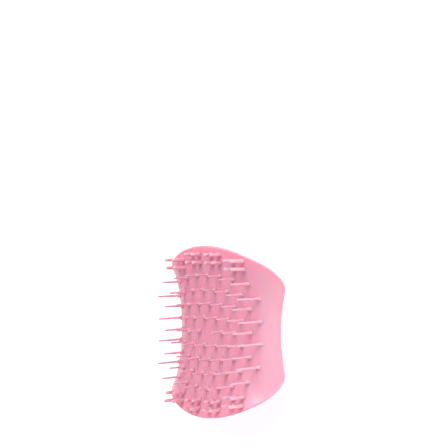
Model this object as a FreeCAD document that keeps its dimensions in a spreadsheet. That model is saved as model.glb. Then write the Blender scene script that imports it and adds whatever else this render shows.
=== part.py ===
"""Palm-held scalp massager brush: a saddle-shaped toothed face moulding closed by a domed back cover.

Frame, in millimetres: X runs across the brush, Y along it and Z the way that the teeth point. The brush lies
on the flat land of its back cover, whose centre is the origin.
"""
import FreeCAD
import Part

import math
import os

import Sketcher
from FreeCAD import Vector

# Each driving dimension, with its value and what it is. Lengths are in millimetres.
DIMENSIONS = [
    ("HalfLength", 43.45, "face outline: centre to the crown of either end"),
    ("HalfWaist", 32.2, "face outline: centre to the middle of either side"),
    ("EndRadius", 54.4, "face outline: arc of either end"),
    ("CornerRadius", 13.1, "face outline: arc of each corner"),
    ("WaistRadius", 82.7, "face outline: hollow arc of either side"),
    ("FaceHeight", 26.0, "resting plane to the middle of the face"),
    ("FaceWall", 2.0, "face moulding thickness, along Z"),
    ("SideDrop", 0.93, "fall of the face towards its sides, square term"),
    ("SideDropSteep", 10.91, "fall of the face towards its sides, fourth-power term"),
    ("EndRise", 2.84, "rise of the face towards its ends, square term"),
    ("EndCrown", 3.19, "extra fall of the ends towards their corners, square by square term"),
    ("CornerLift", 7.17, "lift of the face at its corners, fourth power by square term"),
    ("CoverInset", 4.0, "face outline to the outside of the back cover"),
    ("CoverWall", 2.2, "back cover thickness"),
    ("CoverEdge", 1.5, "straight side wall of the back cover"),
    ("DomeDepth", 24.1, "bulge of the back cover below its edge"),
    ("RibGap", 0.3, "back cover to the locating rib inside it"),
    ("RibWall", 1.5, "locating rib thickness"),
    ("RibDepth", 3.5, "locating rib height"),
    ("PitchAcross", 7.5, "tooth pitch along a row"),
    ("PitchAlong", 6.96, "tooth row pitch at the middle of the face"),
    ("PitchGrowth", 0.026, "share by which the row pitch has grown at the last row"),
    ("RowBend", 0.253, "share by which a row draws in, SurfaceSpan off the middle"),
    ("TipHeight", 8.75, "fine tooth tips above the middle of the face"),
    ("TipRiseAcross", 2.45, "rise of the tips towards the sides"),
    ("TipRiseAlong", 2.98, "rise of the tips towards the ends"),
    ("ToothTipRadius", 0.45, "fine tooth: rounded tip"),
    ("ToothRootRadius", 0.6, "fine tooth: above its boss"),
    ("ToothBossRadius", 1.15, "fine tooth: rounded boss at its foot"),
    ("ToothBossHeight", 1.7, "fine tooth: height of its boss"),
    ("StudStep", 2.64, "stud tips below the surface of the fine tooth tips"),
    ("StudTipRadius", 0.85, "stud: rounded tip"),
    ("StudRootRadius", 0.95, "stud: above its boss"),
    ("StudBossRadius", 1.25, "stud: rounded boss at its foot"),
    ("StudBossHeight", 1.6, "stud: height of its boss"),
    ("ClusterPitch", 12.7, "stud clusters: pitch across"),
    ("ClusterOffset", 37.1, "stud clusters: distance from the middle"),
    ("ClusterBend", 0.218, "stud clusters: share drawn in, SurfaceSpan off the middle"),
    ("ClusterHalfWidth", 2.2, "stud clusters: cluster centre to stud, across"),
    ("ClusterHalfLength", 2.03, "stud clusters: cluster centre to stud, along"),
]

SURFACE_SPAN = 30.0    # the distance off the middle at which the square and other terms above hold
SURFACE_HALF_X = 38.0  # the free-form surfaces reach this far past the outline
SURFACE_HALF_Y = 46.0
SURFACE_STEPS = 12     # spline points from one side of a surface to the other
TALL = 90.0            # taller than the whole brush
ROWS = 9
LONG_ROW = 8           # teeth in every second row; the rows between have one fewer
CLUSTERS = 4           # stud clusters at either end
FOOT_DEPTH = 2.2       # how far a tooth is drawn below the face before its foot is trimmed
FOOT_BLOCK = 8.0       # side of the block that trims a foot
SLOPE_STEP = 0.01      # step over which the slope of the face is taken
HALF_HEIGHT_SHARE = math.sqrt(0.75)  # how much of its overhang a round boss keeps at half its height

doc = FreeCAD.newDocument("ScalpMassagerBrush")


def make_sheet():
    """Put the driving dimensions in a spreadsheet, one aliased cell each."""
    cells = doc.addObject("Spreadsheet::Sheet", "Dimensions")
    for line, (alias, value, meaning) in enumerate(DIMENSIONS, start=1):
        cells.set(f"A{line}", alias)
        cells.set(f"B{line}", str(value))
        cells.set(f"C{line}", meaning)
        cells.setAlias(f"B{line}", alias)
    doc.recompute()
    return cells


sheet = make_sheet()


def dim(alias):
    """The value of one driving dimension."""
    return float(sheet.get(alias))


# ---- shape rules of the face, the back and the tooth tips ----

def square_terms(x, y):
    return (x / SURFACE_SPAN) ** 2, (y / SURFACE_SPAN) ** 2


def face_z(x, y):
    """Height of the toothed face: a saddle that falls to the sides and rises to the ends."""
    across, along = square_terms(x, y)
    fall = dim("SideDrop") * across + dim("SideDropSteep") * across ** 2
    fall += dim("EndCrown") * across * along
    lift = dim("EndRise") * along + dim("CornerLift") * across ** 2 * along
    return dim("FaceHeight") - fall + lift


def face_normal(x, y):
    slope_x = (face_z(x + SLOPE_STEP, y) - face_z(x - SLOPE_STEP, y)) / (2 * SLOPE_STEP)
    slope_y = (face_z(x, y + SLOPE_STEP) - face_z(x, y - SLOPE_STEP)) / (2 * SLOPE_STEP)
    return Vector(-slope_x, -slope_y, 1)


def under_face_z(x, y):
    return face_z(x, y) - dim("FaceWall")


def back_z(x, y):
    """Height of the palm side: below the face by its edge and a dome that dies out at the outline."""
    half_x = dim("HalfWaist")
    half_y = dim("HalfLength")
    dome = dim("DomeDepth") * (1 - (x / half_x) ** 2) * (1 - (y / half_y) ** 2)
    return under_face_z(x, y) - dim("CoverEdge") - dome


def inner_back_z(x, y):
    return back_z(x, y) + dim("CoverWall")


def rib_floor_z(x, y):
    """The locating rib ends here at the latest, just clear of the inside of the cover."""
    return inner_back_z(x, y) + dim("RibGap")


def tip_z(x, y):
    """Height of the fine tooth tips: a shallow bowl that fits a head."""
    across, along = square_terms(x, y)
    return dim("FaceHeight") + dim("TipHeight") + dim("TipRiseAcross") * across + dim("TipRiseAlong") * along


# ---- helper solids ----

def computed(name, shape):
    """A document object for a free-form shape that no parametric feature makes."""
    feature = doc.addObject("Part::Feature", name)
    feature.Shape = shape
    feature.Placement = FreeCAD.Placement()
    return feature


def block_over(height, thickness):
    """The solid between the surface z = height(x, y) and the same surface moved along Z."""
    grid = []
    for i in range(SURFACE_STEPS + 1):
        x = SURFACE_HALF_X * (2 * i / SURFACE_STEPS - 1)
        ys = [SURFACE_HALF_Y * (2 * j / SURFACE_STEPS - 1) for j in range(SURFACE_STEPS + 1)]
        grid.append([Vector(x, y, height(x, y)) for y in ys])
    surface = Part.BSplineSurface()
    surface.interpolate(grid)
    return surface.toShape().extrude(Vector(0, 0, thickness))


def corner_centre(inset):
    """Centre of the +X +Y corner arc, which touches the end arc and the waist arc from inside and outside."""
    end_y = dim("HalfLength") - dim("EndRadius")
    waist_x = dim("HalfWaist") + dim("WaistRadius")
    to_end = dim("EndRadius") - dim("CornerRadius")
    to_waist = dim("WaistRadius") + dim("CornerRadius")
    span = math.hypot(waist_x, end_y)
    along = (to_end ** 2 - to_waist ** 2 + span ** 2) / (2 * span)
    off = math.sqrt(to_end ** 2 - along ** 2)
    way = Vector(waist_x / span, -end_y / span, 0)
    return Vector(0, end_y, 0) + way * along + Vector(-way.y, way.x, 0) * off


def outline_pad(name, inset_cells):
    """A PartDesign pad of the face outline, moved inwards by the sum of some cells of the sheet."""
    inset = sum(dim(cell) for cell in inset_cells)
    moved = "".join(f" - Dimensions.{cell}" for cell in inset_cells)
    grown = moved.replace("-", "+")
    body = doc.addObject("PartDesign::Body", name)
    sketch = body.newObject("Sketcher::SketchObject", name + "Sketch")
    plane = [item for item in body.Origin.OriginFeatures if item.Role == "XY_Plane"][0]
    sketch.AttachmentSupport = [(plane, "")]
    sketch.MapMode = "FlatFace"

    end_centre = Vector(0, dim("HalfLength") - dim("EndRadius"), 0)
    waist_centre = Vector(dim("HalfWaist") + dim("WaistRadius"), 0, 0)
    corner = corner_centre(inset)
    end_turn = math.atan2(corner.y - end_centre.y, corner.x)
    side_turn = math.atan2(waist_centre.y - corner.y, waist_centre.x - corner.x)
    radii = {
        "end": dim("EndRadius") - inset,
        "corner": dim("CornerRadius") - inset,
        "waist": dim("WaistRadius") + inset,
    }

    # The eight arcs in anticlockwise order: kind, centre and two angles. A waist arc is run backwards.
    pi = math.pi
    arcs = [
        ("corner", corner, side_turn, end_turn),
        ("end", end_centre, end_turn, pi - end_turn),
        ("corner", Vector(-corner.x, corner.y, 0), pi - end_turn, pi - side_turn),
        ("waist", Vector(-waist_centre.x, 0, 0), side_turn, -side_turn),
        ("corner", Vector(-corner.x, -corner.y, 0), pi + side_turn, pi + end_turn),
        ("end", Vector(0, -end_centre.y, 0), pi + end_turn, 2 * pi - end_turn),
        ("corner", Vector(corner.x, -corner.y, 0), -end_turn, -side_turn),
        ("waist", waist_centre, pi + side_turn, pi - side_turn),
    ]
    for kind, centre, first, last in arcs:
        circle = Part.Circle(centre, Vector(0, 0, 1), radii[kind])
        sketch.addGeometry(Part.ArcOfCircle(circle, min(first, last), max(first, last)), False)

    start, end, middle = 1, 2, 3
    for index, (kind, *_) in enumerate(arcs):
        following = (index + 1) % len(arcs)
        leaves = start if kind == "waist" else end
        enters = end if arcs[following][0] == "waist" else start
        sketch.addConstraint(Sketcher.Constraint("Tangent", index, leaves, following, enters))
    for first, second in ((0, 2), (0, 4), (0, 6), (1, 5), (3, 7)):
        sketch.addConstraint(Sketcher.Constraint("Equal", first, second))
    for index in (1, 5):
        sketch.addConstraint(Sketcher.Constraint("PointOnObject", index, middle, -2))
    for index in (3, 7):
        sketch.addConstraint(Sketcher.Constraint("PointOnObject", index, middle, -1))
    driven = [
        (Sketcher.Constraint("Radius", 0, radii["corner"]), "Dimensions.CornerRadius" + moved),
        (Sketcher.Constraint("Radius", 1, radii["end"]), "Dimensions.EndRadius" + moved),
        (Sketcher.Constraint("Radius", 3, radii["waist"]), "Dimensions.WaistRadius" + grown),
        (Sketcher.Constraint("DistanceY", 1, middle, -1, 1, -end_centre.y),
         "Dimensions.EndRadius - Dimensions.HalfLength"),
        (Sketcher.Constraint("DistanceY", -1, 1, 5, middle, -end_centre.y),
         "Dimensions.EndRadius - Dimensions.HalfLength"),
        (Sketcher.Constraint("DistanceX", 3, middle, -1, 1, waist_centre.x),
         "Dimensions.HalfWaist + Dimensions.WaistRadius"),
        (Sketcher.Constraint("DistanceX", -1, 1, 7, middle, waist_centre.x),
         "Dimensions.HalfWaist + Dimensions.WaistRadius"),
    ]
    for constraint, expression in driven:
        place = sketch.addConstraint(constraint)
        sketch.setExpression(f"Constraints[{place}]", expression)

    pad = body.newObject("PartDesign::Pad", name + "Pad")
    pad.Profile = sketch
    pad.Length = TALL
    doc.recompute()
    body.Placement = FreeCAD.Placement(Vector(0, 0, -TALL / 4), FreeCAD.Rotation())
    return body


def combine(kind, name, base, tool):
    """A Part::Cut, or a Part::Common or Part::Fuse of two objects."""
    result = doc.addObject(kind, name)
    if kind == "Part::Cut":
        result.Base = base
        result.Tool = tool
    elif kind == "Part::MultiCommon" or kind == "Part::MultiFuse":
        result.Shapes = [base, tool]
    return result


def ground_box(name, lift_cell=None):
    """A box whose top is the resting plane, or the inside of the cover wall over it."""
    box = doc.addObject("Part::Box", name)
    box.Length = 2 * SURFACE_HALF_X
    box.Width = 2 * SURFACE_HALF_Y
    box.Height = TALL
    box.Placement = FreeCAD.Placement(Vector(-SURFACE_HALF_X, -SURFACE_HALF_Y, -TALL), FreeCAD.Rotation())
    if lift_cell:
        box.setExpression("Placement.Base.z", f"Dimensions.{lift_cell} - {TALL}")
    return box


# ---- the two mouldings ----

def make_face_shell():
    """The toothed face's plate, cut to the outline, with a rib that locates the back cover inside it."""
    wall = computed("FaceSlab", block_over(under_face_z, dim("FaceWall")))
    plate = combine("Part::MultiCommon", "FacePlate", wall, outline_pad("FaceOutline", []))

    rib_outside = outline_pad("RibOutside", ["CoverInset", "CoverWall", "RibGap"])
    rib_inside = outline_pad("RibInside", ["CoverInset", "CoverWall", "RibGap", "RibWall"])
    rib_ring = combine("Part::Cut", "RibRing", rib_outside, rib_inside)
    rib_slab = computed("RibSlab", block_over(under_face_z, -dim("RibDepth")))
    cover_floor = computed("CoverFloorBlock", block_over(rib_floor_z, -TALL))
    full_rib = combine("Part::MultiCommon", "FullRib", rib_ring, rib_slab)
    rib = combine("Part::Cut", "LocatingRib", full_rib, cover_floor)

    shell = combine("Part::MultiFuse", "FaceShell", plate, rib)
    shell.Label = "face_shell"
    return shell


def make_back_cover():
    """The palm side: a domed shell with a flat land under its middle, open towards the face."""
    outside = outline_pad("CoverOutside", ["CoverInset"])
    inside = outline_pad("CoverInside", ["CoverInset", "CoverWall"])
    dome = computed("DomeBlock", block_over(back_z, TALL))
    hollow = computed("HollowBlock", block_over(inner_back_z, TALL))
    over_face = computed("OverFaceBlock", block_over(under_face_z, TALL))

    bulk = combine("Part::MultiCommon", "CoverBulk", outside, dome)
    flat = combine("Part::Cut", "CoverOnLand", bulk, ground_box("GroundBox"))
    lidless = combine("Part::Cut", "CoverLidless", flat, over_face)
    core = combine("Part::MultiCommon", "CoverCore", inside, hollow)
    raised = combine("Part::Cut", "CoverCoreOverLand", core, ground_box("LandBox", "CoverWall"))
    cover = combine("Part::Cut", "BackCover", lidless, raised)
    cover.Label = "back_cover"
    return cover


# ---- teeth and studs ----

def pin_solid(x, y, top, radii, boss_height):
    """One round pin along Z with a rounded tip on a rounded boss, cut off along the slope of the face."""
    tip_radius, root_radius, boss_radius = radii
    foot = face_z(x, y)
    below_foot = Vector(0, 0, foot - FOOT_DEPTH)
    boss_low = Vector(boss_radius, 0, foot - FOOT_DEPTH)
    boss_edge = Vector(boss_radius, 0, foot)
    overhang = boss_radius - root_radius
    boss_bulge = Vector(root_radius + overhang * HALF_HEIGHT_SHARE, 0, foot + boss_height / 2)
    root = Vector(root_radius, 0, foot + boss_height)
    shoulder = Vector(tip_radius, 0, top - tip_radius)
    half_round = tip_radius * math.sqrt(0.5)
    tip_bulge = Vector(half_round, 0, top - tip_radius + half_round)
    crown = Vector(0, 0, top)
    edges = [
        Part.makeLine(below_foot, boss_low),
        Part.makeLine(boss_low, boss_edge),
        Part.Arc(boss_edge, boss_bulge, root).toShape(),
        Part.makeLine(root, shoulder),
        Part.Arc(shoulder, tip_bulge, crown).toShape(),
        Part.makeLine(crown, below_foot),
    ]
    half = Part.Face(Part.Wire(edges))
    solid = half.revolve(Vector(0, 0, 0), Vector(0, 0, 1), 360)
    solid.translate(Vector(x, y, 0))
    block_corner = Vector(-FOOT_BLOCK / 2, -FOOT_BLOCK / 2, -FOOT_BLOCK)
    below = Part.makeBox(FOOT_BLOCK, FOOT_BLOCK, FOOT_BLOCK, block_corner)
    tilt = FreeCAD.Rotation(Vector(0, 0, 1), face_normal(x, y))
    below.Placement = FreeCAD.Placement(Vector(x, y, foot), tilt)
    return solid.cut(below)


def pin_group(name, label, places, drop, radii, boss_height):
    """Pins at some places, as one node of separate solids."""
    pins = [pin_solid(x, y, tip_z(x, y) - drop, radii, boss_height) for x, y in places]
    group = computed(name, Part.makeCompound([solid for pin in pins for solid in pin.Solids]))
    group.Label = label
    return group


def tooth_places(row):
    """Where the teeth of one row stand, counted from the +Y end. The middle row has none at the centre."""
    offset = row - (ROWS - 1) // 2
    count = LONG_ROW - 1 if offset % 2 == 0 else LONG_ROW
    straight = -offset * dim("PitchAlong") * (1 + dim("PitchGrowth") * (2 * offset / (ROWS - 1)) ** 2)
    places = []
    for i in range(count):
        x = (i - (count - 1) / 2) * dim("PitchAcross")
        y = straight * (1 - dim("RowBend") * (x / SURFACE_SPAN) ** 2)
        if (x, offset) != (0, 0):
            places.append((x, y))
    return places


def stud_places(side, cluster):
    """The four studs of one cluster. side is 1 at the +Y end and -1 at the other."""
    centre = (cluster - (CLUSTERS - 1) / 2) * dim("ClusterPitch")
    away = dim("ClusterOffset") * (1 - dim("ClusterBend") * (centre / SURFACE_SPAN) ** 2)
    half_width = dim("ClusterHalfWidth")
    half_length = dim("ClusterHalfLength")
    corners = [(i, j) for j in (1, -1) for i in (-1, 1)]
    return [(centre + i * half_width, side * (away + j * half_length)) for i, j in corners]


nodes = [make_face_shell(), make_back_cover()]

tooth_radii = dim("ToothTipRadius"), dim("ToothRootRadius"), dim("ToothBossRadius")
for row in range(ROWS):
    nodes.append(pin_group(f"ToothRow{row + 1}", f"tooth_row_{row + 1}", tooth_places(row), 0,
                           tooth_radii, dim("ToothBossHeight")))

stud_radii = dim("StudTipRadius"), dim("StudRootRadius"), dim("StudBossRadius")
for word, side in (("front", 1), ("rear", -1)):
    for cluster in range(CLUSTERS):
        places = stud_places(side, cluster)
        nodes.append(pin_group(f"{word.title()}Studs{cluster + 1}", f"studs_{word}_{cluster + 1}", places,
                               dim("StudStep"), stud_radii, dim("StudBossHeight")))

doc.recompute()

# ---- checks and files ----

for item in doc.Objects:
    if "Invalid" in item.State or "Error" in item.State:
        raise RuntimeError(f"{item.Name} did not build: {item.State}")

os.makedirs("parts", exist_ok=True)
for node in nodes:
    shape = node.Shape
    if shape.isNull() or not shape.isValid() or not shape.Solids:
        raise RuntimeError(f"{node.Label} has no valid solid")
    print(f"{node.Label}: {len(shape.Solids)} solids, {shape.Volume:.1f} mm3")
    shape.exportStep(f"parts/{node.Label}.step")
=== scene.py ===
"""Looks of a palm-held scalp massager brush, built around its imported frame. Lengths are in metres.

The brush lies on the flat land of its palm cover, with its teeth up along +Z and its long side along Y.
"""
import math

import bpy
from bpy.props import FloatProperty, FloatVectorProperty, IntProperty, PointerProperty
from mathutils import Matrix, Vector


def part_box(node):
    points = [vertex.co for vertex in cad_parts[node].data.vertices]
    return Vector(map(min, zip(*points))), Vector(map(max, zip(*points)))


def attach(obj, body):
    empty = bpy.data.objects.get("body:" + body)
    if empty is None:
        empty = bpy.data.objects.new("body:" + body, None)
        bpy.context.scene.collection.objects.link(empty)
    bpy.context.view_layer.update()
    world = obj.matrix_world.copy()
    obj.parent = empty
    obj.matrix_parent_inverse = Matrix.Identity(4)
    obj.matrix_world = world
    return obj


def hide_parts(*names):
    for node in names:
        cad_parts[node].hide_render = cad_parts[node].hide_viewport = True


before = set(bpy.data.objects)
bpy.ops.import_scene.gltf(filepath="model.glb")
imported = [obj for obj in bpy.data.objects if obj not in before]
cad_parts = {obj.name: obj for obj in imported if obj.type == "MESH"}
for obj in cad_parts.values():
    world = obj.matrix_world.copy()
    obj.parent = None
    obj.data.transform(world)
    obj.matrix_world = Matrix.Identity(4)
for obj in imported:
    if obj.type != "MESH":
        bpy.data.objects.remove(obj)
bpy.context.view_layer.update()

bl_info = {
    "name": "Scalp Massager Brush",
    "version": (1, 0, 0),
    "blender": (4, 5, 0),
    "location": "View3D > Sidebar > Scalp Brush",
    "description": "Builds a palm-held scalp massager brush and a plain studio around its frame",
    "category": "Add Mesh",
}

MM = 0.001
FACE_LOW, FACE_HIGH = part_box("face_shell")
BODY = "root"
ROWS = [f"tooth_row_{number}" for number in range(1, 10)]
CLUSTERS = [f"studs_{end}_{number}" for end in ("front", "rear") for number in range(1, 5)]


def length(name, description, default):
    """A length property in metres."""
    return FloatProperty(name=name, description=description, default=default, unit="LENGTH", precision=5)


def degrees(name, description, default):
    """An angle property, its default given in degrees."""
    return FloatProperty(name=name, description=description, default=math.radians(default), subtype="ANGLE")


def watts(name, description, default):
    """A light's power property in watts."""
    return FloatProperty(name=name, description=description, default=default, unit="POWER")


def colour(name, description, default):
    """A colour property, as linear values."""
    return FloatVectorProperty(name=name, description=description, default=default, subtype="COLOR")


class SCALPBRUSH_PG_face(bpy.types.PropertyGroup):
    """Outline and saddle of the toothed face."""
    half_length: length("Half Length", "Middle of the face to the crown of either end", FACE_HIGH.y)
    half_waist: length("Half Waist", "Middle of the face to the middle of either side", 32.2 * MM)
    end_radius: length("End Radius", "Arc of either end of the outline", 54.4 * MM)
    corner_radius: length("Corner Radius", "Arc of each corner of the outline", 13.1 * MM)
    waist_radius: length("Waist Radius", "Hollow arc of either side of the outline", 82.7 * MM)
    height: length("Height", "Resting plane to the middle of the face", 26.0 * MM)
    span: length("Span", "Distance off the middle at which the drops and lifts below hold", 30.0 * MM)
    side_drop: length("Side Drop", "Fall towards the sides, square term", 0.93 * MM)
    side_drop_steep: length("Steep Side Drop", "Fall towards the sides, fourth-power term", 10.91 * MM)
    end_rise: length("End Rise", "Rise towards the ends, square term", 2.84 * MM)
    end_crown: length("End Crown", "Extra fall towards the corners, square by square term", 3.19 * MM)
    corner_lift: length("Corner Lift", "Lift of the corners, fourth power by square term", 7.17 * MM)
    rim_radius: length("Rim Radius", "Round nose of the rim, half the wall", 0.85 * MM)


class SCALPBRUSH_PG_cover(bpy.types.PropertyGroup):
    """Sizes of the palm cover."""
    inset: length("Inset", "Face outline to the outside of the cover", 4.0 * MM)
    wall: length("Wall", "Thickness of the cover", 2.2 * MM)
    drop: length("Drop", "Face to the edge of the cover's dome", 3.5 * MM)
    dome: length("Dome", "Bulge of the palm side", 24.1 * MM)
    edge_radius: length("Edge Radius", "Rounding between the side wall and the dome", 1.4 * MM)
    groove: length("Groove", "Depth and height of the parting groove under the face", 0.4 * MM)


class SCALPBRUSH_PG_teeth(bpy.types.PropertyGroup):
    """Sizes of the fine teeth and the studs."""
    tooth_tip: length("Tooth Tip Radius", "Rounded tip of a fine tooth", 0.45 * MM)
    tooth_root: length("Tooth Root Radius", "Fine tooth above its boss", 0.6 * MM)
    tooth_boss: length("Tooth Boss Radius", "Rounded boss at the foot of a fine tooth", 1.15 * MM)
    tooth_boss_height: length("Tooth Boss Height", "Height of a fine tooth's boss", 1.7 * MM)
    stud_tip: length("Stud Tip Radius", "Rounded tip of a stud", 0.85 * MM)
    stud_root: length("Stud Root Radius", "Stud above its boss", 0.95 * MM)
    stud_boss: length("Stud Boss Radius", "Rounded boss at the foot of a stud", 1.25 * MM)
    stud_boss_height: length("Stud Boss Height", "Height of a stud's boss", 1.6 * MM)
    sink: length("Sink", "How far a foot goes below the face", 0.12 * MM)
    sides: IntProperty(name="Sides", description="Sides of a tooth", default=14, min=6, max=32)


class SCALPBRUSH_PG_finish(bpy.types.PropertyGroup):
    """Colours and satin of the soft plastic."""
    face: colour("Face", "Toothed face", (0.97, 0.385, 0.52))
    cover: colour("Cover", "Palm cover", (0.94, 0.37, 0.51))
    tooth: colour("Teeth", "Teeth and studs", (0.97, 0.48, 0.60))
    # pale colour of thin edges and tips, also used for the painted sheen on the face's bare sides
    pale: colour("Pale Edge", "Thin edges and tips", (0.84, 0.60, 0.69))
    roughness: FloatProperty(name="Roughness", description="Face and cover", default=0.36, min=0, max=1)
    pin_roughness: FloatProperty(name="Pin Roughness", description="Teeth, studs", default=0.52, min=0, max=1)


class SCALPBRUSH_PG_studio(bpy.types.PropertyGroup):
    """Camera and lights."""
    turn: degrees("Turn", "Camera about the long axis of the brush", -39.96)
    nod: degrees("Nod", "Camera about its own level axis", -0.23)
    roll: degrees("Roll", "Camera about the way it looks", -0.17)
    distance: length("Distance", "Camera to the middle of the face", 0.763)
    shift_right: length("Shift Right", "Camera to the right of the middle of the face", 6.45 * MM)
    shift_up: length("Shift Up", "Camera above the middle of the face", 54.28 * MM)
    lens: FloatProperty(name="Lens", description="Focal length", default=121.2, unit="CAMERA")
    key_power: watts("Key", "Power of the soft key light", 15.2)
    side_power: watts("Side", "Power of the side light", 2.5)
    ambient: FloatProperty(name="Ambient", description="Strength of the white surroundings", default=0.39)
    floor_glow: FloatProperty(name="Floor Glow", description="Light added by the floor", default=0.55)


# ---- node trees ----

class Socket:
    """A number socket of a node tree. Arithmetic on it adds Math nodes."""

    def __init__(self, tree, socket):
        self.tree = tree
        self.socket = socket

    def __add__(self, other):
        return self.tree.math("ADD", self, other)

    def __sub__(self, other):
        return self.tree.math("SUBTRACT", self, other)

    def __rsub__(self, other):
        return self.tree.math("SUBTRACT", other, self)

    def __mul__(self, other):
        return self.tree.math("MULTIPLY", self, other)

    def __pow__(self, other):
        return self.tree.math("POWER", self, other)

    __radd__ = __add__
    __rmul__ = __mul__


class Tree:
    """Adds nodes to a shader or geometry tree and hands back their sockets."""

    def __init__(self, tree):
        self.nodes = tree.nodes
        self.links = tree.links

    def node(self, kind, settings=None, inputs=None, output=0):
        """One node of any kind: its settings, then the values or links of its inputs. Gives one output."""
        made = self.nodes.new(kind)
        for name, value in (settings or {}).items():
            setattr(made, name, value)
        for name, value in (inputs or {}).items():
            if isinstance(value, Socket):
                self.links.new(value.socket, made.inputs[name])
            else:
                made.inputs[name].default_value = value
        return Socket(self, made.outputs[output]) if made.outputs else None

    def other(self, socket, output):
        """Another output of the node that a socket belongs to."""
        return Socket(self, socket.socket.node.outputs[output])

    def math(self, operation, first, second=0.0, clamp=False):
        settings = {"operation": operation, "use_clamp": clamp}
        return self.node("ShaderNodeMath", settings, {0: first, 1: second})

    def tint(self, factor, first, second):
        """A colour between two colours."""
        settings = {"data_type": "RGBA"}
        return self.node("ShaderNodeMix", settings, {"Factor": factor, 6: first, 7: second}, output=2)

    def parts(self, vector):
        """The three numbers of a vector."""
        first = self.node("ShaderNodeSeparateXYZ", None, {0: vector})
        return first, self.other(first, 1), self.other(first, 2)

    def vector(self, x, y, z):
        return self.node("ShaderNodeCombineXYZ", None, {0: x, 1: y, 2: z})

    def keep(self, geometry, field):
        """Capture a vector field on a geometry's points. Output 1 of the same node gives it back."""
        node = self.nodes.new("GeometryNodeCaptureAttribute")
        node.domain = "POINT"
        node.capture_items.new("VECTOR", "Kept")
        self.links.new(geometry.socket, node.inputs[0])
        self.links.new(field.socket, node.inputs[1])
        return Socket(self, node.outputs[0])


# ---- finishes ----

CLOUD_SHADE = 0.93       # how dark the clouds are against the plain plastic
CLOUD_SATIN = 0.10       # how much the clouds change the roughness
THIN_AND_SHEEN_PALENESS = 0.75     # how far thin plastic, and the painted sheen of the face's bare sides, go towards the pale colour
THIN_GLOSS = 0.06        # how much smoother the thinnest plastic is
GRAIN_DEPTH = 0.03 * MM
PAPER_DEPTH = 0.05 * MM


def rgba(tone):
    return (*tone, 1.0)


def soft_plastic(name, plain, pale, roughness, thin_and_sheen_attribute):
    """Moulded soft plastic: satin, a little translucent, faintly clouded, paler where it is thin and where a
    sheen is painted on.
    """
    material = bpy.data.materials.new(name)
    material.use_nodes = True
    tree = Tree(material.node_tree)
    tree.nodes.clear()
    place = tree.node("ShaderNodeTexCoord", output="Object")
    cloud = tree.node("ShaderNodeTexNoise", None, {
        "Vector": place, "Scale": 70.0, "Detail": 3.0, "Roughness": 0.5,
    })
    grain = tree.node("ShaderNodeTexNoise", None, {"Vector": place, "Scale": 2600.0, "Detail": 2.0})
    thin_and_sheen = tree.node("ShaderNodeAttribute", {"attribute_name": thin_and_sheen_attribute}, output="Fac")

    deep = [CLOUD_SHADE * channel for channel in plain]
    clouded = tree.tint(cloud, rgba(deep), rgba(plain))
    # paler towards the pale colour: thin edges and tips, and a painted sheen where the face has no teeth
    tone = tree.tint(thin_and_sheen * THIN_AND_SHEEN_PALENESS, clouded, rgba(pale))
    satin = roughness + (cloud - 0.5) * CLOUD_SATIN - thin_and_sheen * THIN_GLOSS
    bump = tree.node("ShaderNodeBump", None, {"Strength": 0.35, "Distance": GRAIN_DEPTH, "Height": grain})
    shader = tree.node("ShaderNodeBsdfPrincipled", None, {
        "Base Color": tone, "Roughness": satin, "Normal": bump, "IOR": 1.55,
        "Subsurface Weight": 0.7, "Subsurface Radius": (1.0, 0.18, 0.24), "Subsurface Scale": 3.0 * MM,
    })
    tree.node("ShaderNodeOutputMaterial", None, {"Surface": shader})
    return material


def floor_finish(glow):
    """Plain white paper with a faint fibre, lit a little from within so that it stays white."""
    material = bpy.data.materials.new("white_sweep")
    material.use_nodes = True
    tree = Tree(material.node_tree)
    tree.nodes.clear()
    place = tree.node("ShaderNodeTexCoord", output="Object")
    fibre = tree.node("ShaderNodeTexNoise", None, {"Vector": place, "Scale": 900.0, "Detail": 2.0})
    bump = tree.node("ShaderNodeBump", None, {"Strength": 0.1, "Distance": PAPER_DEPTH, "Height": fibre})
    shader = tree.node("ShaderNodeBsdfPrincipled", None, {
        "Base Color": rgba((0.93, 0.93, 0.93)), "Roughness": 0.9, "Normal": bump,
        "Emission Color": rgba((1.0, 1.0, 1.0)), "Emission Strength": glow,
    })
    tree.node("ShaderNodeOutputMaterial", None, {"Surface": shader})
    return material


# ---- shape rules ----

SLOPE_STEP = 0.01 * MM   # step over which the slope of the face is taken


def saddle(face, x, y):
    """Height of the toothed face, which falls to the sides and rises to the ends."""
    across = (x / face.span) ** 2
    along = (y / face.span) ** 2
    fall = face.side_drop * across + face.side_drop_steep * across ** 2 + face.end_crown * across * along
    lift = face.end_rise * along + face.corner_lift * across ** 2 * along
    return face.height - fall + lift


def saddle_normal(face, x, y):
    slope_x = (saddle(face, x + SLOPE_STEP, y) - saddle(face, x - SLOPE_STEP, y)) / (2 * SLOPE_STEP)
    slope_y = (saddle(face, x, y + SLOPE_STEP) - saddle(face, x, y - SLOPE_STEP)) / (2 * SLOPE_STEP)
    return Vector((-slope_x, -slope_y, 1)).normalized()


def palm(face, cover, x, y):
    """Height of the palm side before it is flattened where it rests."""
    bulge = (1 - (x / face.half_waist) ** 2) * (1 - (y / face.half_length) ** 2)
    return saddle(face, x, y) - cover.drop - cover.dome * bulge


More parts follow.
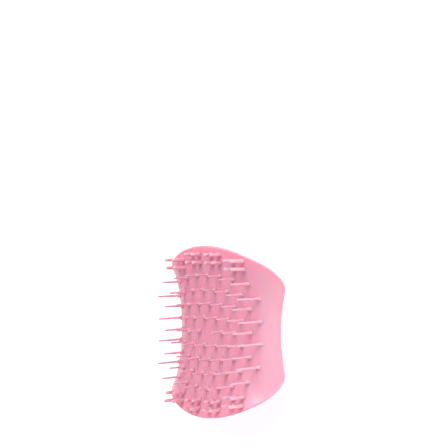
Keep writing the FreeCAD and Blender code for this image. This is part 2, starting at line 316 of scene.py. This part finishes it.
def outline(face, inset, quarter_steps):
    """The plan outline moved inwards, as points and outward directions, anticlockwise from +X."""
    end_y = face.half_length - face.end_radius
    waist_x = face.half_waist + face.waist_radius
    to_end = face.end_radius - face.corner_radius
    to_waist = face.waist_radius + face.corner_radius
    between = math.hypot(waist_x, end_y)
    along = (to_end ** 2 - to_waist ** 2 + between ** 2) / (2 * between)
    off = math.sqrt(to_end ** 2 - along ** 2)
    way = Vector((waist_x, -end_y)) / between
    corner = Vector((0, end_y)) + way * along + Vector((-way.y, way.x)) * off
    low = math.atan2(-corner.y, waist_x - corner.x)
    high = math.atan2(corner.y - end_y, corner.x)

    # each arc: centre, radius, first and last angle, and whether the outline is hollow there
    arcs = [
        (Vector((waist_x, 0)), face.waist_radius + inset, math.pi, math.pi + low, -1),
        (corner, face.corner_radius - inset, low, high, 1),
        (Vector((0, end_y)), face.end_radius - inset, high, math.pi / 2, 1),
    ]
    shares = [radius * abs(last - first) for _, radius, first, last, _ in arcs]
    counts = [max(4, round(quarter_steps * share / sum(shares))) for share in shares]
    counts[1] += quarter_steps - sum(counts)
    quarter = []
    for (centre, radius, first, last, sense), count in zip(arcs, counts):
        for step in range(count):
            angle = first + (last - first) * step / count
            out = Vector((math.cos(angle), math.sin(angle)))
            quarter.append((centre + out * radius, out * sense))
    top = (Vector((0, face.half_length - inset)), Vector((0, 1)))

    def flipped(pairs, sx, sy):
        return [(Vector((p.x * sx, p.y * sy)), Vector((o.x * sx, o.y * sy))) for p, o in pairs]

    right = quarter + [top]
    left = flipped(right[:-1][::-1], -1, 1)
    lower_left = flipped(quarter[1:] + [top], -1, -1)
    lower_right = flipped(quarter[1:][::-1], 1, -1)
    return right + left + lower_left + lower_right


def ring_skin(name, rings, first_pole, last_pole, values=None):
    """A closed skin over rings of points, with a pole at either end. values gives each ring its paleness of
    thin edges, stored in the attribute that also holds the painted sheen.
    """
    count = len(rings[0])
    points = [first_pole] + [point for ring in rings for point in ring] + [last_pole]
    last = len(points) - 1
    faces = [(0, 1 + i, 1 + (i + 1) % count) for i in range(count)]
    for k in range(len(rings) - 1):
        here, there = 1 + k * count, 1 + (k + 1) * count
        for i in range(count):
            j = (i + 1) % count
            faces.append((here + i, there + i, there + j, here + j))
    base = 1 + (len(rings) - 1) * count
    faces += [(base + i, last, base + (i + 1) % count) for i in range(count)]
    mesh = bpy.data.meshes.new(name)
    mesh.from_pydata(points, [], faces)
    mesh.validate()
    mesh.shade_smooth()
    if values:
        layer = mesh.attributes.new("thin_edge_and_painted_sheen", "FLOAT", "POINT")
        spread = [values[0]] + [value for value in values for _ in range(count)] + [values[-1]]
        layer.data.foreach_set("value", spread)
    return mesh


def add_piece(name, mesh, material, slot, *nodes):
    """Put a finished mesh in the scene, in place of its frame nodes."""
    mesh.materials.clear()
    mesh.materials.append(material)
    piece = bpy.data.objects.new(name, mesh)
    bpy.context.scene.collection.objects.link(piece)
    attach(piece, BODY)
    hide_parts(*nodes)
    return piece


# ---- face and cover ----

QUARTER_STEPS = 64         # points along a quarter of the outline
FACE_RINGS = 34            # rings of points from the middle of the face to its rim
NOSE_STEPS = 12            # steps round the nose of the rim
FIRST_BARE = 0.76          # where the bare sides and their painted sheen begin, as a share of the half waist
FULLY_BARE = 0.97          # where that painted sheen is as pale as it gets
BARE_SIDE_PAINTED_SHEEN = 0.36  # how pale the painted sheen is, against the thin nose of the rim

COVER_RINGS = 30           # rings of points over the dome
INSIDE_RINGS = 12          # rings of points over its inside
EDGE_STEPS = 8             # steps round the edge of the dome
GROOVE_FOOT = 2.5          # where the parting groove ends below the face, in rim radii
LIP_DEPTH = 1.4            # lower lip of the groove below that, in groove heights
ROOF_DEPTH = 2.6           # the inside stays this far below the face, in rim radii
REST_SOFTNESS = 0.25 * MM  # how gently the dome runs into its flat rest


def edge_share(step, steps):
    """A share from 0 to 1, whose steps are closer together towards 1."""
    return math.sin(math.pi / 2 * step / steps)


class SCALPBRUSH_OT_face(bpy.types.Operator):
    """Build the saddle-shaped toothed face with its rolled rim"""
    bl_idname = "scalpbrush.face"
    bl_label = "Toothed Face"

    def execute(self, context):
        face = context.scene.scalpbrush_face
        finish = context.scene.scalpbrush_finish
        radius = face.rim_radius
        edge = []
        for point, out in outline(face, 0, QUARTER_STEPS):
            lean = saddle_normal(face, point.x, point.y).dot(out.to_3d())
            edge.append((point - out * radius * (1 - lean), out))

        rings = []
        values = []
        for k in range(1, FACE_RINGS + 1):
            share = edge_share(k, FACE_RINGS)
            rings.append([self.on_face(face, point * share) for point, _ in edge])
            values.append(0.0)
        for k in range(1, NOSE_STEPS):
            turn = math.pi / 2 - math.pi * k / NOSE_STEPS
            rings.append([self.on_nose(face, point, out, turn) for point, out in edge])
            values.append(max(0.0, math.cos(turn)))
        for k in range(FACE_RINGS, 0, -1):
            share = edge_share(k, FACE_RINGS)
            rings.append([self.under_face(face, point * share) for point, _ in edge])
            values.append(0.0)
        top = self.on_face(face, Vector((0, 0)))
        bottom = self.under_face(face, Vector((0, 0)))
        mesh = ring_skin("toothed_face", rings, top, bottom, values)
        # paint a sheen on the bare sides: their colour goes paler, standing in for the gloss of the lights
        # there
        for vertex, thin_and_sheen in zip(mesh.vertices, mesh.attributes["thin_edge_and_painted_sheen"].data):
            thin_and_sheen.value = max(thin_and_sheen.value, BARE_SIDE_PAINTED_SHEEN * self.painted_sheen_side(face, vertex.co))
        material = soft_plastic("face_plastic", finish.face, finish.pale, finish.roughness, "thin_edge_and_painted_sheen")
        add_piece("toothed_face", mesh, material, "face_plastic", "face_shell")
        return {"FINISHED"}

    @staticmethod
    def painted_sheen_side(face, point):
        """0 among the teeth, rising smoothly to 1 at the side rims, where the face has no teeth. This is
        where a painted sheen pales the colour.
        """
        first = FIRST_BARE * face.half_waist
        full = FULLY_BARE * face.half_waist
        share = min(max((abs(point.x) - first) / (full - first), 0.0), 1.0)
        return share * share * (3 - 2 * share)

    @staticmethod
    def on_face(face, point):
        return Vector((point.x, point.y, saddle(face, point.x, point.y)))

    @classmethod
    def under_face(cls, face, point):
        return cls.on_face(face, point) - saddle_normal(face, point.x, point.y) * 2 * face.rim_radius

    @classmethod
    def on_nose(cls, face, point, out, turn):
        normal = saddle_normal(face, point.x, point.y)
        forward = out.to_3d() - normal * normal.dot(out.to_3d())
        turned = forward.normalized() * math.cos(turn) + normal * math.sin(turn)
        return cls.on_face(face, point) + (turned - normal) * face.rim_radius


class SCALPBRUSH_OT_cover(bpy.types.Operator):
    """Build the domed palm cover with its parting groove and flat rest"""
    bl_idname = "scalpbrush.cover"
    bl_label = "Palm Cover"

    def execute(self, context):
        face = context.scene.scalpbrush_face
        cover = context.scene.scalpbrush_cover
        finish = context.scene.scalpbrush_finish
        seat = -face.rim_radius
        groove_foot = -GROOVE_FOOT * face.rim_radius

        def face_ring(inset, drop):
            places = outline(face, inset, QUARTER_STEPS)
            return [Vector((p.x, p.y, saddle(face, p.x, p.y) + drop)) for p, _ in places]

        def palm_ring(inset, lift):
            places = outline(face, inset, QUARTER_STEPS)
            return [Vector((p.x, p.y, palm(face, cover, p.x, p.y) + lift)) for p, _ in places]

        outer = cover.inset
        inner = cover.inset + cover.wall
        radius = cover.edge_radius
        rings = [
            face_ring(outer + cover.groove, seat),
            face_ring(outer + cover.groove, groove_foot - cover.groove),
            face_ring(outer, groove_foot - LIP_DEPTH * cover.groove),
        ]
        for k in range(1, EDGE_STEPS + 1):
            turn = math.pi / 2 * (1 - k / EDGE_STEPS)
            rings.append(palm_ring(outer + radius * (1 - math.sin(turn)), radius * (1 - math.cos(turn))))
        dome_edge = outline(face, outer + radius, QUARTER_STEPS)
        for k in range(COVER_RINGS - 1, 0, -1):
            share = edge_share(k, COVER_RINGS)
            rings.append([self.on_palm(face, cover, point * share) for point, _ in dome_edge])
        bottom = self.on_palm(face, cover, Vector((0, 0)))

        rings.reverse()
        rings.append(face_ring(inner, seat))
        inside_edge = outline(face, inner, QUARTER_STEPS)
        for k in range(INSIDE_RINGS, 0, -1):
            share = edge_share(k, INSIDE_RINGS)
            rings.append([self.in_palm(face, cover, point * share) for point, _ in inside_edge])
        inside_bottom = self.in_palm(face, cover, Vector((0, 0)))
        mesh = ring_skin("palm_cover", rings, bottom, inside_bottom)
        material = soft_plastic("cover_plastic", finish.cover, finish.pale, finish.roughness, "thin_edge_and_painted_sheen")
        add_piece("palm_cover", mesh, material, "cover_plastic", "back_cover")
        return {"FINISHED"}

    @staticmethod
    def on_palm(face, cover, point):
        """On the dome, or on the flat rest where the dome would go below it."""
        height = palm(face, cover, point.x, point.y)
        return Vector((point.x, point.y, (height + math.hypot(height, REST_SOFTNESS)) / 2))

    @staticmethod
    def in_palm(face, cover, point):
        height = max(palm(face, cover, point.x, point.y), 0) + cover.wall
        roof = saddle(face, point.x, point.y) - ROOF_DEPTH * face.rim_radius
        return Vector((point.x, point.y, min(height, roof)))


# ---- teeth and studs ----

PIN_SIZES = ("Tip Radius", "Root Radius", "Boss Radius", "Boss Height", "Sink")
PIN_RINGS = 12            # rings along a pin: a third each for its boss, its shaft and its tip
PIN_CLEARANCE = 2.0 * MM  # the axes of two pins are further apart than this
RAY_START = 0.1           # the rays that find the face start this high and fall
RAY_LENGTH = 1.0
MERGE_GAP = 0.002 * MM


def pin_tops(node):
    """Where the pins of a frame node end: each pin's highest point stands on its own axis."""
    tops = []
    for point in sorted((v.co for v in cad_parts[node].data.vertices), key=lambda co: -co.z):
        if all(math.hypot(point.x - top.x, point.y - top.y) > PIN_CLEARANCE for top in tops):
            tops.append(point.copy())
    return tops


def pin_tree():
    """Geometry nodes that stand one round pin under each point: boss on the face, shaft and round tip."""
    group = bpy.data.node_groups.new("Round Pins", "GeometryNodeTree")
    ports = group.interface
    ports.new_socket("Geometry", in_out="INPUT", socket_type="NodeSocketGeometry")
    for name in PIN_SIZES:
        port = ports.new_socket(name, in_out="INPUT", socket_type="NodeSocketFloat")
        port.subtype = "DISTANCE"
    ports.new_socket("Sides", in_out="INPUT", socket_type="NodeSocketInt")
    ports.new_socket("Face", in_out="INPUT", socket_type="NodeSocketObject")
    ports.new_socket("Material", in_out="INPUT", socket_type="NodeSocketMaterial")
    ports.new_socket("Geometry", in_out="OUTPUT", socket_type="NodeSocketGeometry")

    tree = Tree(group)
    start = tree.node("NodeGroupInput", output="Geometry")
    tip, root, boss, rise, sink = (tree.other(start, name) for name in PIN_SIZES)
    position = tree.node("GeometryNodeInputPosition")

    # a unit pin, whose points remember where they were before it is shaped
    unit = tree.node("GeometryNodeMeshCylinder", {"fill_type": "TRIANGLE_FAN"}, {
        "Vertices": tree.other(start, "Sides"), "Side Segments": PIN_RINGS, "Radius": 1.0, "Depth": 1.0,
    })
    unit = tree.keep(unit, position)
    local = tree.other(unit, 1)
    points = tree.node("GeometryNodeMeshToPoints", None, {"Mesh": start})
    points = tree.keep(points, position)
    axis = tree.other(points, 1)
    placed = tree.node("GeometryNodeInstanceOnPoints", None, {"Points": points, "Instance": unit})
    loose = tree.node("GeometryNodeRealizeInstances", None, {"Geometry": placed})

    unit_x, unit_y, unit_z = tree.parts(local)
    axis_x, axis_y, top = tree.parts(axis)
    along = unit_z + 0.5
    third = along * 3.0
    in_boss = tree.math("MINIMUM", third, 1.0)
    in_shaft = tree.math("ADD", third, -1.0, clamp=True)
    in_tip = tree.math("ADD", third, -2.0, clamp=True) * (math.pi / 2)
    radius = tip * tree.math("COSINE", in_tip) + (root - tip) * (1.0 - in_shaft)
    radius = radius + (boss - root) * tree.math("SQRT", 1.0 - in_boss * in_boss)
    x = axis_x + unit_x * radius
    y = axis_y + unit_y * radius

    face = tree.other(start, "Face")
    target = tree.node("GeometryNodeObjectInfo", None, {"Object": face}, output="Geometry")

    def face_height(at_x, at_y):
        above = tree.vector(at_x, at_y, RAY_START)
        hit = tree.node("GeometryNodeRaycast", None, {
            "Target Geometry": target, "Source Position": above, "Ray Direction": (0.0, 0.0, -1.0),
            "Ray Length": RAY_LENGTH,
        }, output="Hit Position")
        return tree.parts(hit)[2]

    under_axis = face_height(axis_x, axis_y)
    foot = (face_height(x, y) - sink) * (1.0 - in_boss) + under_axis * in_boss
    shaft = top - tip - under_axis - rise
    z = foot + rise * in_boss + shaft * in_shaft + tip * tree.math("SINE", in_tip)
    shaped = tree.node("GeometryNodeSetPosition", None, {"Geometry": loose, "Position": tree.vector(x, y, z)})
    closed = tree.node("GeometryNodeMergeByDistance", None, {"Geometry": shaped, "Distance": MERGE_GAP})
    smooth = tree.node("GeometryNodeSetShadeSmooth", None, {"Geometry": closed, "Shade Smooth": True})
    marked = tree.node("GeometryNodeStoreNamedAttribute", {"data_type": "FLOAT", "domain": "POINT"}, {
        "Geometry": smooth, "Name": "tip_share", "Value": along ** 2.0,
    })
    solid = tree.node("GeometryNodeRealizeInstances", None, {"Geometry": marked})
    material = tree.other(start, "Material")
    done = tree.node("GeometryNodeSetMaterial", None, {"Geometry": solid, "Material": material})
    tree.links.new(done.socket, tree.nodes.new("NodeGroupOutput").inputs[0])
    return group


def build_pins(name, node, group, inputs, slot):
    """One group of pins: points at the frame node's pin tops, shaped by the node group into a plain mesh."""
    seeds = bpy.data.meshes.new(name + "_seeds")
    seeds.from_pydata(pin_tops(node), [], [])
    carrier = bpy.data.objects.new(name + "_seeds", seeds)
    bpy.context.scene.collection.objects.link(carrier)
    modifier = carrier.modifiers.new("Pins", "NODES")
    modifier.node_group = group
    for item in group.interface.items_tree:
        if item.in_out == "INPUT" and item.name in inputs:
            modifier[item.identifier] = inputs[item.name]
    depsgraph = bpy.context.evaluated_depsgraph_get()
    mesh = bpy.data.meshes.new_from_object(carrier.evaluated_get(depsgraph))
    mesh.name = name
    carrier.modifiers.remove(modifier)
    bpy.data.objects.remove(carrier)
    return add_piece(name, mesh, inputs["Material"], slot, node)


def pin_inputs(teeth, sizes, material):
    """The node group's inputs, by name, for fine teeth or studs."""
    inputs = dict(zip(PIN_SIZES, (*sizes, teeth.sink)))
    inputs["Sides"] = teeth.sides
    inputs["Face"] = bpy.data.objects["toothed_face"]
    inputs["Material"] = material
    return inputs


class SCALPBRUSH_OT_teeth(bpy.types.Operator):
    """Build the rows of fine teeth"""
    bl_idname = "scalpbrush.teeth"
    bl_label = "Fine Teeth"

    def execute(self, context):
        teeth = context.scene.scalpbrush_teeth
        finish = context.scene.scalpbrush_finish
        material = soft_plastic("tooth_plastic", finish.tooth, finish.pale, finish.pin_roughness, "tip_share")
        sizes = teeth.tooth_tip, teeth.tooth_root, teeth.tooth_boss, teeth.tooth_boss_height
        inputs = pin_inputs(teeth, sizes, material)
        group = pin_tree()
        for number, node in enumerate(ROWS, start=1):
            build_pins(f"fine_teeth_{number}", node, group, inputs, "tooth_plastic")
        return {"FINISHED"}


class SCALPBRUSH_OT_studs(bpy.types.Operator):
    """Build the groups of studs at both ends"""
    bl_idname = "scalpbrush.studs"
    bl_label = "End Studs"

    def execute(self, context):
        teeth = context.scene.scalpbrush_teeth
        finish = context.scene.scalpbrush_finish
        material = soft_plastic("stud_plastic", finish.tooth, finish.pale, finish.pin_roughness, "tip_share")
        sizes = teeth.stud_tip, teeth.stud_root, teeth.stud_boss, teeth.stud_boss_height
        inputs = pin_inputs(teeth, sizes, material)
        group = pin_tree()
        for node in CLUSTERS:
            build_pins(f"end_{node}", node, group, inputs, "stud_plastic")
        return {"FINISHED"}


# ---- studio ----

FLOOR_HALF_SIDE = 6.0
KEY_PLACE = (0.20, 0.84, 1.27)
KEY_SIZE = 0.8
SIDE_PLACE = (1.13, -0.05, 0.62)
SIDE_SIZE = 0.6


def aim(thing, target):
    """Turn a light towards a point."""
    thing.rotation_euler = (Vector(target) - thing.location).to_track_quat("-Z", "Y").to_euler()


def add_softbox(name, place, target, size, power):
    data = bpy.data.lights.new(name, "AREA")
    data.shape = "DISK"
    data.size = size
    data.energy = power
    light = bpy.data.objects.new(name, data)
    light.location = place
    bpy.context.scene.collection.objects.link(light)
    aim(light, target)


class SCALPBRUSH_OT_studio(bpy.types.Operator):
    """Set the floor, the soft lights and the camera"""
    bl_idname = "scalpbrush.studio"
    bl_label = "Studio"

    def execute(self, context):
        scene = context.scene
        studio = scene.scalpbrush_studio
        middle = Vector((0, 0, scene.scalpbrush_face.height))

        side = FLOOR_HALF_SIDE
        floor_mesh = bpy.data.meshes.new("floor")
        corners = [(-side, -side, 0), (side, -side, 0), (side, side, 0), (-side, side, 0)]
        floor_mesh.from_pydata(corners, [], [(0, 1, 2, 3)])
        floor_mesh.materials.append(floor_finish(studio.floor_glow))
        floor = bpy.data.objects.new("floor", floor_mesh)
        scene.collection.objects.link(floor)

        add_softbox("key_light", KEY_PLACE, middle, KEY_SIZE, studio.key_power)
        add_softbox("side_light", SIDE_PLACE, middle, SIDE_SIZE, studio.side_power)

        world = bpy.data.worlds.new("surroundings")
        world.use_nodes = True
        background = world.node_tree.nodes["Background"]
        background.inputs["Color"].default_value = rgba((1.0, 1.0, 1.0))
        background.inputs["Strength"].default_value = studio.ambient
        scene.world = world
        scene.view_settings.view_transform = "Standard"

        roll = Matrix.Rotation(studio.roll, 3, "Z")
        nod = Matrix.Rotation(studio.nod, 3, "X")
        turn = Matrix.Rotation(studio.turn, 3, "Y")
        stance = (roll @ nod @ turn).transposed()
        away = Vector((studio.shift_right, studio.shift_up, studio.distance))
        data = bpy.data.cameras.new("camera")
        data.lens = studio.lens
        data.clip_start = 0.01
        camera = bpy.data.objects.new("camera", data)
        camera.matrix_world = Matrix.Translation(middle + stance @ away) @ stance.to_4x4()
        scene.collection.objects.link(camera)
        scene.camera = camera
        return {"FINISHED"}


class SCALPBRUSH_PT_panel(bpy.types.Panel):
    """Lists the brush's pieces in the sidebar"""
    bl_label = "Scalp Brush"
    bl_idname = "SCALPBRUSH_PT_panel"
    bl_space_type = "VIEW_3D"
    bl_region_type = "UI"
    bl_category = "Scalp Brush"

    def draw(self, context):
        for operator in OPERATORS:
            self.layout.operator(operator.bl_idname)
        for name, group in GROUPS.items():
            box = self.layout.box()
            for prop in group.__annotations__:
                box.prop(getattr(context.scene, name), prop)


GROUPS = {
    "scalpbrush_face": SCALPBRUSH_PG_face,
    "scalpbrush_cover": SCALPBRUSH_PG_cover,
    "scalpbrush_teeth": SCALPBRUSH_PG_teeth,
    "scalpbrush_finish": SCALPBRUSH_PG_finish,
    "scalpbrush_studio": SCALPBRUSH_PG_studio,
}
OPERATORS = [
    SCALPBRUSH_OT_face,
    SCALPBRUSH_OT_cover,
    SCALPBRUSH_OT_teeth,
    SCALPBRUSH_OT_studs,
    SCALPBRUSH_OT_studio,
]
CLASSES = [*GROUPS.values(), *OPERATORS, SCALPBRUSH_PT_panel]


def register():
    for cls in CLASSES:
        bpy.utils.register_class(cls)
    for name, group in GROUPS.items():
        setattr(bpy.types.Scene, name, PointerProperty(type=group))


def unregister():
    for name in GROUPS:
        delattr(bpy.types.Scene, name)
    for cls in reversed(CLASSES):
        bpy.utils.unregister_class(cls)


def main():
    register()
    bpy.ops.scalpbrush.face()
    bpy.ops.scalpbrush.cover()
    bpy.ops.scalpbrush.teeth()
    bpy.ops.scalpbrush.studs()
    bpy.ops.scalpbrush.studio()


if __name__ == "__main__":
    main()
